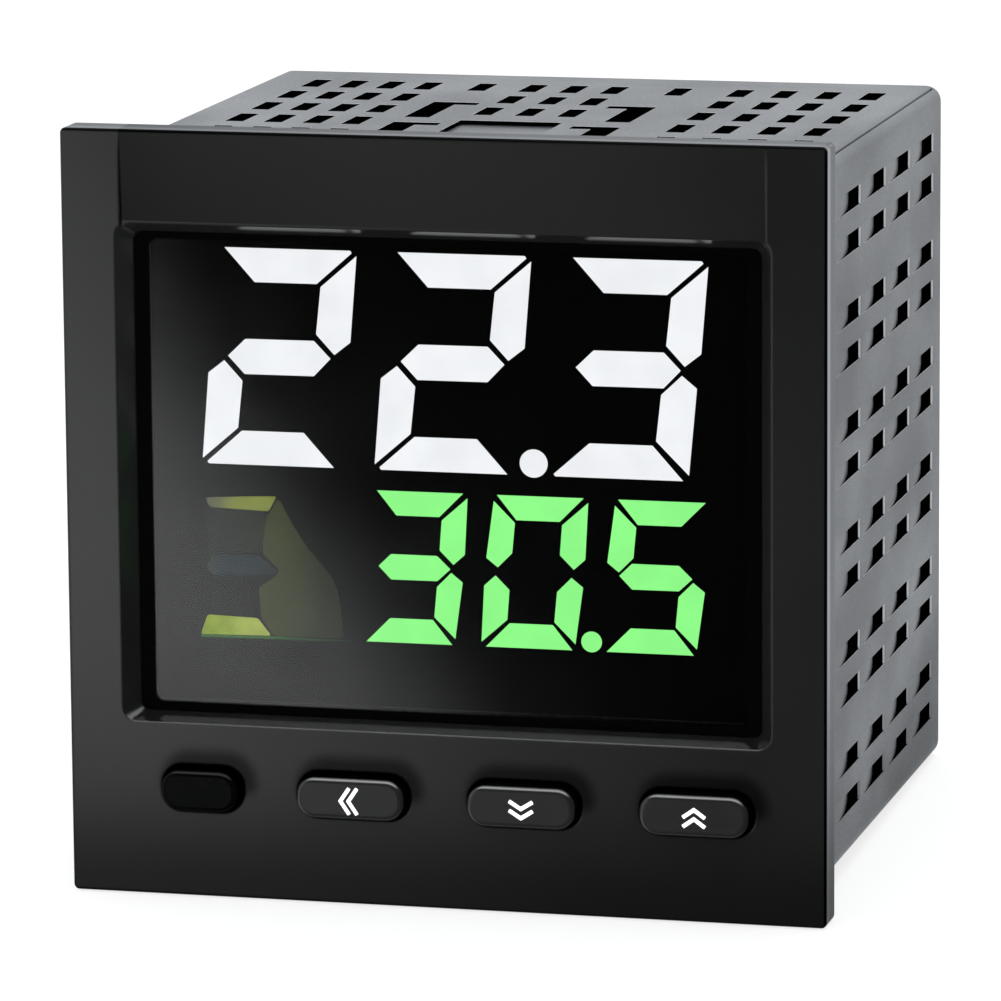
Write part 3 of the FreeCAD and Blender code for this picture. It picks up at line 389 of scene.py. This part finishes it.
def window_pane():
    """Smoked pane: clear enough for the display, with the gloss of hard-coated acrylic on top."""
    t = Tree("window_pane")
    nt = t.nt
    clear = t.new("ShaderNodeBsdfTransparent")
    clear.inputs["Color"].default_value = (0.86, 0.865, 0.87, 1.0)
    gloss = t.new("ShaderNodeBsdfGlossy")
    gloss.inputs["Color"].default_value = (0.945, 0.95, 0.96, 1.0)
    haze = t.noise(90.0, 3.0, 0.6)
    t.link(t.range(haze, 0.3, 0.7, 0.03, 0.06), gloss.inputs["Roughness"])
    fres = t.new("ShaderNodeFresnel")
    fres.inputs["IOR"].default_value = 1.46
    geo = t.new("ShaderNodeNewGeometry")
    outside = t.math("SUBTRACT", 1.0, geo.outputs["Backfacing"])
    # a printed matt black border, its corners rounded, leaves the viewing area clear
    x, y, z = t.xyz()
    dx = t.math("SUBTRACT", t.math("ABSOLUTE", x), (VIEW_X - VIEW_R) * MM)
    dz = t.math("SUBTRACT", t.math("ABSOLUTE", t.math("SUBTRACT", z, (VIEW_HIGH - VIEW_LOW) / 2 * MM)), ((VIEW_HIGH + VIEW_LOW) / 2 - VIEW_R) * MM)
    px, pz = t.math("MAXIMUM", dx, 0.0), t.math("MAXIMUM", dz, 0.0)
    past = t.math("SQRT", t.math("ADD", t.math("MULTIPLY", px, px), t.math("MULTIPLY", pz, pz)))
    border = t.range(past, (VIEW_R - 0.15) * MM, (VIEW_R + 0.15) * MM, 0.0, 1.0)
    ink = t.new("ShaderNodeBsdfDiffuse")
    ink.inputs["Color"].default_value = (0.0012, 0.0012, 0.0013, 1.0)
    mixer = t.new("ShaderNodeMixShader")
    t.link(t.math("MULTIPLY", fres.outputs[0], outside), mixer.inputs[0])
    t.link(clear.outputs[0], mixer.inputs[1])
    t.link(gloss.outputs[0], mixer.inputs[2])
    nt.nodes.remove(t.shader)
    framed = t.new("ShaderNodeMixShader")
    t.link(border, framed.inputs[0])
    t.link(mixer.outputs[0], framed.inputs[1])
    t.link(ink.outputs[0], framed.inputs[2])
    t.link(framed.outputs[0], t.out.inputs["Surface"])
    return t.mat


def segment(name, colour, power, low=0.93):
    """A lit segment: its light is a little uneven."""
    t = Tree(name)
    n = t.noise(160.0, 2.0, 0.5)
    dots = t.noise(5000.0, 1.0)
    shade = t.math("MULTIPLY", t.range(n, 0.3, 0.7, low, 1.0), t.range(dots, 0.3, 0.7, 0.98, 1.0))
    mul = t.new("ShaderNodeVectorMath", operation="SCALE")
    mul.inputs[0].default_value = colour
    t.link(shade, mul.inputs["Scale"])
    t.set(color=(0.02, 0.02, 0.02), rough=0.6, spec=0.1, emit=mul.outputs[0], power=power)
    return t.mat


def print_white_painted_glow():
    t = Tree("print_white_painted_glow")
    n = t.noise(2600.0, 3.0, 0.6)
    col = t.ramp(n, [(0.3, (0.80, 0.81, 0.81)), (0.7, (0.90, 0.91, 0.91))])
    # painted light: the white print also glows a little, though it is no lamp
    t.set(color=col, rough=0.45, normal=t.bump(n, 0.3, 0.01 * MM), emit=col, power=0.42)
    return t.mat


m_board = board_green()
m_brass = metal("plate_brass", (0.78, 0.62, 0.34), 0.3)
m_steel = metal("screw_steel", (0.62, 0.62, 0.6), 0.28)
m_ferrite, m_coil, m_sleeve, m_tube, m_acrylic = ferrite(), coil(), sleeve(), tube(), acrylic()
m_lcd, m_pane = lcd_black(), window_pane()
m_white = segment("segment_white", (0.93, 0.94, 0.955), 1.35)
m_green = segment("segment_green", (0.265, 0.95, 0.235), 1.44)
m_print = print_white_painted_glow()

for node, m in {
    "front_bezel": m_bezel, "rear_case": m_case, "display_window": m_pane,
    "mode_key": m_key_gloss, "shift_key": m_key, "down_key": m_key, "up_key": m_key,
    "mode_plunger": m_plunger, "shift_plunger": m_plunger, "down_plunger": m_plunger, "up_plunger": m_plunger,
    "key_switches": m_switch, "lcd_panel": m_lcd, "light_guide": m_acrylic, "reflector_sheet": m_film,
    "lcd_holder": m_holder, "contact_strips": m_strip, "backlight_leds": m_led, "display_board": m_board,
    "board_screws": m_steel, "microcontroller": m_chip, "display_driver": m_chip, "power_board": m_board,
    "output_board": m_board, "board_connectors": m_header, "transformer_core": m_ferrite, "transformer_coil": m_coil,
    "capacitors": m_sleeve, "line_filter": m_filter, "fuse": m_tube, "varistor": m_varistor,
    "output_relays": m_relay, "optocouplers": m_coupler, "input_converter": m_chip,
    "left_terminal_block": m_terminal, "right_terminal_block": m_terminal,
    "terminal_plates": m_brass, "terminal_screws": m_steel,
}.items():
    paint(node, m)


# ------------------------------------------------------------------ flat printed and lit shapes
def plate(name, shapes, y_front, thick, material, body, round_off=0.0):
    """Thin closed plates in the XZ plane, front at y_front, from outlines in mm. round_off rounds their corners."""
    bm = bmesh.new()
    for pts in shapes:
        if round_off:
            pts = rounded(pts, round_off)
        area = sum(pts[i][0] * pts[(i + 1) % len(pts)][1] - pts[(i + 1) % len(pts)][0] * pts[i][1] for i in range(len(pts)))
        if area < 0:
            pts = pts[::-1]
        front = [bm.verts.new((x * MM, y_front * MM, z * MM)) for x, z in pts]
        back = [bm.verts.new((x * MM, (y_front + thick) * MM, z * MM)) for x, z in pts]
        bm.faces.new(front)
        bm.faces.new(back[::-1])
        for i in range(len(pts)):
            j = (i + 1) % len(pts)
            bm.faces.new((front[j], front[i], back[i], back[j]))
    bmesh.ops.recalc_face_normals(bm, faces=bm.faces)
    me = bpy.data.meshes.new(name)
    bm.to_mesh(me)
    bm.free()
    o = bpy.data.objects.new(name, me)
    bpy.context.scene.collection.objects.link(o)
    me.materials.append(material)
    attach(o, body)
    return o


def rounded(pts, r, steps=3):
    """The outline with each corner rounded by r mm, less where its sides are short."""
    out = []
    n = len(pts)
    for i in range(n):
        p, a, b = Vector(pts[i]), Vector(pts[i - 1]), Vector(pts[(i + 1) % n])
        u, v = a - p, b - p
        lu, lv = u.length, v.length
        u.normalize()
        v.normalize()
        k = min(r, lu * 0.4, lv * 0.4)
        s, e = p + u * k, p + v * k
        for j in range(steps + 1):
            t = j / steps
            q = s * (1 - t) ** 2 + p * 2 * t * (1 - t) + e * t ** 2
            out.append((q.x, q.y))
    return out


def disc(cx, cz, r, n=40):
    return [(cx + r * math.cos(2 * math.pi * i / n), cz + r * math.sin(2 * math.pi * i / n)) for i in range(n)]


def turned(pts):
    return [(-x, -z) for x, z in pts]


BIG = {
    "a": [(-6.8, 13.55), (9.2, 13.55), (9.4, 13.25), (4.9, 9.3), (-3.0, 9.3)],
    "b": [(10.0, 12.9), (9.1, 2.15), (7.05, 0.55), (4.75, 3.05), (5.4, 8.95)],
    "c": [(7.55, -12.85), (3.45, -8.75), (4.1, -3.0), (6.7, -0.57), (8.56, -2.1)],
    "g": [(6.55, 0.05), (4.4, -2.18), (-4.45, -2.2), (-6.55, 0.05), (-4.3, 2.2), (4.45, 2.22)],
}
SMALL = {
    "a": [(-4.7, 9.52), (6.25, 9.52), (3.2, 6.46), (-2.25, 6.46)],
    "b": [(6.8, 8.95), (6.4, 1.85), (4.95, 0.55), (3.2, 2.3), (3.5, 6.05)],
    "c": [(5.1, -8.75), (2.45, -6.1), (2.82, -2.3), (4.65, -0.47), (6.1, -1.62)],
    "g": [(4.55, -0.03), (2.87, -1.58), (-3.0, -1.6), (-4.6, 0.05), (-3.0, 1.6), (2.87, 1.58)],
}
for cell in (BIG, SMALL):
    cell["d"], cell["e"], cell["f"] = turned(cell["a"]), turned(cell["b"]), turned(cell["c"])
ON = {"2": "abged", "3": "abgcd", "0": "abcdef", "5": "afgcd"}

LCD_FRONT = -1.4
SEG_Y, SEG_T = LCD_FRONT - 0.05, 0.045


def digit(cell, cx, cz, char):
    return [[(x + cx, z + cz) for x, z in cell[s]] for s in ON[char]]


shapes = []
for cx, ch in ((-21.6, "2"), (0.43, "2"), (22.48, "3")):
    shapes += digit(BIG, cx, 19.56, ch)
shapes.append(disc(10.57, 7.5, 1.76))
plate("upper_digits", shapes, SEG_Y, SEG_T, m_white, "housing")
shapes = []
for cx, ch in ((-4.62, "3"), (10.6, "0"), (25.86, "5")):
    shapes += digit(SMALL, cx, -6.1, ch)
shapes.append(disc(17.74, -14.46, 1.3))
plate("lower_digits", shapes, SEG_Y, SEG_T, m_green, "housing")

# what is left of the display's fourth small digit: three faint bars and a dim smear beside them
def faint(name, left, right, x0, x1, power=1.0):
    """Faint light that changes from left to right across x0..x1 mm, a little uneven."""
    t = Tree(name)
    x = t.xyz()[0]
    n = t.noise(420.0, 3.0, 0.6)
    along = t.range(t.math("ADD", x, t.math("MULTIPLY", t.math("SUBTRACT", n, 0.5), 4 * MM)), x0 * MM, x1 * MM, 0.0, 1.0)
    col = t.mix(along, left, right)
    mul = t.new("ShaderNodeVectorMath", operation="SCALE")
    t.link(col, mul.inputs[0])
    t.link(t.range(n, 0.3, 0.7, 0.8, 1.1), mul.inputs["Scale"])
    t.set(color=(0.004, 0.004, 0.004), rough=0.6, spec=0.1, emit=mul.outputs[0], power=power)
    return t.mat


m_f_top = faint("faint_top", (0.12, 0.13, 0.075), (0.25, 0.29, 0.05), -31, -26)
m_f_mid = faint("faint_middle", (0.035, 0.05, 0.03), (0.008, 0.022, 0.026), -31.5, -29)
m_f_low = faint("faint_low", (0.30, 0.42, 0.02), (0.42, 0.50, 0.09), -31.5, -23.5)
m_f_line = faint("faint_line", (0.03, 0.14, 0.02), (0.004, 0.03, 0.008), -26, -13)
m_f_side = faint("faint_side", (0.045, 0.055, 0.012), (0.014, 0.02, 0.008), -23, -14)
m_f_back = faint("faint_back", (0.006, 0.011, 0.006), (0.012, 0.018, 0.008), -31, -24)
FY = SEG_Y
plate("faint_back_patch", [[(-31.1, 0.4), (-23.6, 0.2), (-23.9, -5.0), (-29.2, -5.2), (-31.1, -5.9)]], FY + 0.01, 0.03, m_f_back, "housing", round_off=0.8)
plate("faint_top_bar", [[(-31.3, 1.7), (-26.2, 2.0), (-22.2, 2.15), (-23.2, 0.25), (-30.9, 0.5)]], FY, SEG_T, m_f_top, "housing", round_off=0.3)
plate("faint_middle_bar", [[(-30.6, -5.45), (-24.5, -5.4), (-22.3, -7.1), (-22.5, -7.7), (-30.6, -8.05), (-31.3, -7.0)]], FY, SEG_T, m_f_mid, "housing", round_off=0.4)
plate("faint_low_bar", [[(-31.3, -13.1), (-24.8, -13.3), (-23.1, -15.45), (-32.2, -15.6)]], FY, SEG_T, m_f_low, "housing", round_off=0.35)
plate("faint_low_line", [[(-32.2, -15.66), (-23.0, -15.52), (-12.6, -15.6), (-12.6, -15.82), (-23.0, -15.86), (-32.2, -15.98)]], FY, SEG_T, m_f_line, "housing")
plate("faint_side_patch", [[(-21.95, 2.0), (-20.5, -0.76), (-18.5, -3.9), (-15.3, -7.6), (-14.5, -9.4), (-14.1, -11.8), (-13.8, -15.4), (-22.9, -15.4), (-24.4, -13.0), (-24.6, -9.4), (-22.2, -7.75), (-22.05, -6.95), (-24.1, -5.1), (-23.6, -0.5), (-23.0, 0.2)]], FY, SEG_T, m_f_side, "housing", round_off=0.5)

# ------------------------------------------------------------------ key marks
KEY_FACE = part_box("shift_key")[0].y / MM


def stroke(points, w):
    """A polyline as one outline of width w with mitred joints and square ends."""
    pts = [Vector(p) for p in points]
    left, right = [], []
    for i, p in enumerate(pts):
        if i == 0:
            d = (pts[1] - p).normalized()
            nrm = Vector((-d.y, d.x))
            k = 1.0
        elif i == len(pts) - 1:
            d = (p - pts[i - 1]).normalized()
            nrm = Vector((-d.y, d.x))
            k = 1.0
        else:
            d0, d1 = (p - pts[i - 1]).normalized(), (pts[i + 1] - p).normalized()
            n0, n1 = Vector((-d0.y, d0.x)), Vector((-d1.y, d1.x))
            nrm = (n0 + n1).normalized()
            k = 1.0 / max(0.35, nrm.dot(n0))
        left.append(p + nrm * (w / 2 * k))
        right.append(p - nrm * (w / 2 * k))
    return [(p.x, p.y) for p in left + right[::-1]]


def chevrons(cx, cz, kind):
    out = []
    for s in (-0.5, 0.5):
        if kind == "left":
            x = cx + s * 1.0
            out.append(stroke([(x + 0.56, cz + 1.66), (x - 0.56, cz), (x + 0.56, cz - 1.66)], 0.47))
        elif kind == "down":
            z = cz + s * 1.15
            out.append(stroke([(cx - 1.5, z + 0.47), (cx, z - 0.47), (cx + 1.5, z + 0.47)], 0.49))
        else:
            z = cz + s * 1.15
            out.append(stroke([(cx - 1.4, z - 0.5), (cx, z + 0.5), (cx + 1.4, z - 0.5)], 0.49))
    return out


for key, cx, kind in (("shift", -11.55, "left"), ("down", 10.3, "down"), ("up", 32.0, "up")):
    plate(key + "_mark", chevrons(cx, -34.45, kind), KEY_FACE - 0.02, 0.03, m_print, key + "_button", round_off=0.08)

# ------------------------------------------------------------------ floor, light, camera
PIVOT = Vector((0, -0.001, -0.048))
REAR = Vector((0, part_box("rear_case")[1].y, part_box("rear_case")[0].z))
SLOPE = math.atan2(REAR.z - PIVOT.z, REAR.y - PIVOT.y)


def floor():
    t = Tree("floor_paper")
    n = t.noise(400.0, 3.0)
    t.set(color=t.ramp(n, [(0.3, (0.25, 0.25, 0.25)), (0.7, (0.27, 0.27, 0.27))]), rough=0.9, spec=0.05, emit=(1.0, 1.0, 1.0), power=0.74)
    bm = bmesh.new()
    bmesh.ops.create_grid(bm, x_segments=24, y_segments=24, size=6.0)
    me = bpy.data.meshes.new("floor")
    bm.to_mesh(me)
    bm.free()
    o = bpy.data.objects.new("floor", me)
    bpy.context.scene.collection.objects.link(o)
    me.materials.append(t.mat)
    o.location = PIVOT + Vector((0, 0, -0.00006))
    o.rotation_euler = (SLOPE, 0, 0)
    o.visible_glossy = False
    o.visible_shadow = False
    return o


floor()


def area(name, at, target, size, power, colour=(1, 1, 1), glossy=True, size_y=None):
    l = bpy.data.lights.new(name, "AREA")
    l.energy = power
    l.color = colour
    l.size = size
    if size_y:
        l.shape = "RECTANGLE"
        l.size_y = size_y
    o = bpy.data.objects.new(name, l)
    bpy.context.scene.collection.objects.link(o)
    o.location = at
    o.rotation_mode = "QUATERNION"
    o.rotation_quaternion = (Vector(target) - Vector(at)).to_track_quat("-Z", "Y")
    o.visible_camera = False
    o.visible_glossy = glossy
    return o


area("top_soft", (0.02, 0.12, 0.60), (0, 0.04, 0), 0.45, 2.0, (0.93, 0.97, 1.0), glossy=False)
area("low_fill", (-0.12, -0.16, -0.15), (0.0, -0.005, -0.02), 0.10, 0.30, (1.0, 1.0, 1.0), glossy=False)

world = bpy.data.worlds.new("studio")
bpy.context.scene.world = world
world.use_nodes = True
wt = world.node_tree
wt.nodes.clear()
w_out = wt.nodes.new("ShaderNodeOutputWorld")
w_bg = wt.nodes.new("ShaderNodeBackground")
w_path = wt.nodes.new("ShaderNodeLightPath")
w_co = wt.nodes.new("ShaderNodeTexCoord")
w_sep = wt.nodes.new("ShaderNodeSeparateXYZ")
wt.links.new(w_co.outputs["Generated"], w_sep.inputs[0])


def wmath(op, a, b=None, clamp=False):
    n = wt.nodes.new("ShaderNodeMath")
    n.operation = op
    n.use_clamp = clamp
    for i, v in enumerate((a, b)):
        if v is None:
            continue
        if isinstance(v, (int, float)):
            n.inputs[i].default_value = v
        else:
            wt.links.new(v, n.inputs[i])
    return n.outputs[0]


def wrange(v, a, b, lo, hi):
    n = wt.nodes.new("ShaderNodeMapRange")
    n.interpolation_type = "SMOOTHSTEP"
    for k, q in (("From Min", a), ("From Max", b), ("To Min", lo), ("To Max", hi)):
        n.inputs[k].default_value = q
    wt.links.new(v, n.inputs["Value"])
    return n.outputs["Result"]


rear = wrange(w_sep.outputs[1], -0.25, 0.35, 0.004, 0.95)
rear = wmath("MULTIPLY", rear, wrange(w_sep.outputs[0], 0.45, 0.8, 1.0, 0.0))
high = wrange(w_sep.outputs[2], -0.05, 0.22, 0.0, 0.3)
overhead = wrange(w_sep.outputs[2], 0.55, 0.9, 0.0, 7.5)
from_left = wrange(w_sep.outputs[0], -0.45, -0.75, 0.0, 0.9)
strip = wmath("MULTIPLY", wmath("MULTIPLY", wrange(w_sep.outputs[0], -0.1, 0.08, 0.0, 1.0), wrange(w_sep.outputs[0], 0.35, 0.5, 1.0, 0.0)), wmath("MULTIPLY", wrange(w_sep.outputs[2], 0.12, 0.2, 0.0, 1.0), wrange(w_sep.outputs[1], 0.5, 0.8, 0.0, 0.12)))
rear = wmath("MULTIPLY", wmath("ADD", rear, strip), wrange(w_sep.outputs[0], 0.05, 0.22, 1.0, 1.2))
back_level = wmath("ADD", rear, wmath("MULTIPLY", high, wrange(w_sep.outputs[1], -0.1, 0.4, 0.0, 1.0)))
# a soft box low in front on the left, which the pane mirrors
aside = wmath("DIVIDE", w_sep.outputs[0], w_sep.outputs[1])
below = wmath("DIVIDE", w_sep.outputs[2], w_sep.outputs[1])
span = wmath("ADD", aside, wmath("MULTIPLY", below, 0.82))
cross = wmath("SUBTRACT", aside, below)
w_edge = wt.nodes.new("ShaderNodeValToRGB")
w_ramp = w_edge.color_ramp
EDGE = [
    (0.4000, 0.004), (0.4180, 0.012), (0.4248, 0.02), (0.4308, 0.035), (0.4338, 0.05), (0.4368, 0.076), (0.4398, 0.123), (0.4428, 0.182),
    (0.4458, 0.272), (0.4488, 0.381), (0.4548, 0.61), (0.4608, 0.81), (0.4638, 0.895), (0.4668, 0.955), (0.4728, 1.0),
]
while len(w_ramp.elements) < len(EDGE):
    w_ramp.elements.new(0.5)
for e, (at, v) in zip(w_ramp.elements, EDGE):
    e.position = (at - 0.39) / 0.09
    e.color = (v, v, v, 1.0)
wt.links.new(wmath("DIVIDE", wmath("SUBTRACT", span, 0.39), 0.09), w_edge.inputs["Fac"])
box = wmath("MULTIPLY", w_edge.outputs["Color"], wrange(below, 0.21, 0.27, 1.0, 0.0))
box = wmath("MULTIPLY", box, wmath("MULTIPLY", wrange(cross, -0.12, 0.0, 0.0, 1.0), wrange(aside, 0.38, 0.5, 1.0, 0.0)))
box = wmath("MULTIPLY", box, wmath("LESS_THAN", w_sep.outputs[1], -0.05))
front_glow = wmath("MULTIPLY", wmath("MAXIMUM", overhead, from_left), wrange(w_sep.outputs[1], -0.1, 0.2, 1.0, 0.0))
glossy_level = wmath("ADD", wmath("ADD", back_level, front_glow), wmath("MULTIPLY", box, 2.3))
diffuse_level = 1.22
level = wmath("ADD", wmath("MULTIPLY", w_path.outputs["Is Glossy Ray"], wmath("SUBTRACT", glossy_level, diffuse_level)), diffuse_level)
level = wmath("ADD", wmath("MULTIPLY", w_path.outputs["Is Camera Ray"], wmath("SUBTRACT", 1.0, level)), level)
w_tint = wt.nodes.new("ShaderNodeMix")
w_tint.data_type = "RGBA"
w_tint.inputs[6].default_value = (0.985, 0.995, 1.0, 1.0)
w_tint.inputs[7].default_value = (0.94, 0.985, 1.03, 1.0)
wt.links.new(wmath("MULTIPLY", w_path.outputs["Is Glossy Ray"], wmath("GREATER_THAN", w_sep.outputs[1], 0.0)), w_tint.inputs[0])
wt.links.new(w_tint.outputs[2], w_bg.inputs["Color"])
wt.links.new(level, w_bg.inputs["Strength"])
wt.links.new(w_bg.outputs[0], w_out.inputs["Surface"])
world.cycles.sampling_method = "NONE"

cam_data = bpy.data.cameras.new("camera")
cam_data.sensor_width = 36.0
cam_data.lens = 250.66
cam_data.clip_start = 0.05
cam_data.clip_end = 20.0
cam = bpy.data.objects.new("camera", cam_data)
bpy.context.scene.collection.objects.link(cam)
right = Vector((0.96968, 0.24425, -0.00755))
up = Vector((-0.03776, 0.18028, 0.98289))
back = -Vector((-0.24143, 0.95281, -0.18403))
cam.matrix_world = Matrix((
    (right.x, up.x, back.x, 0.21253),
    (right.y, up.y, back.y, -0.81510),
    (right.z, up.z, back.z, 0.15990),
    (0, 0, 0, 1),
))
scene = bpy.context.scene
scene.camera = cam
scene.view_settings.view_transform = "Standard"
scene.view_settings.look = "None"
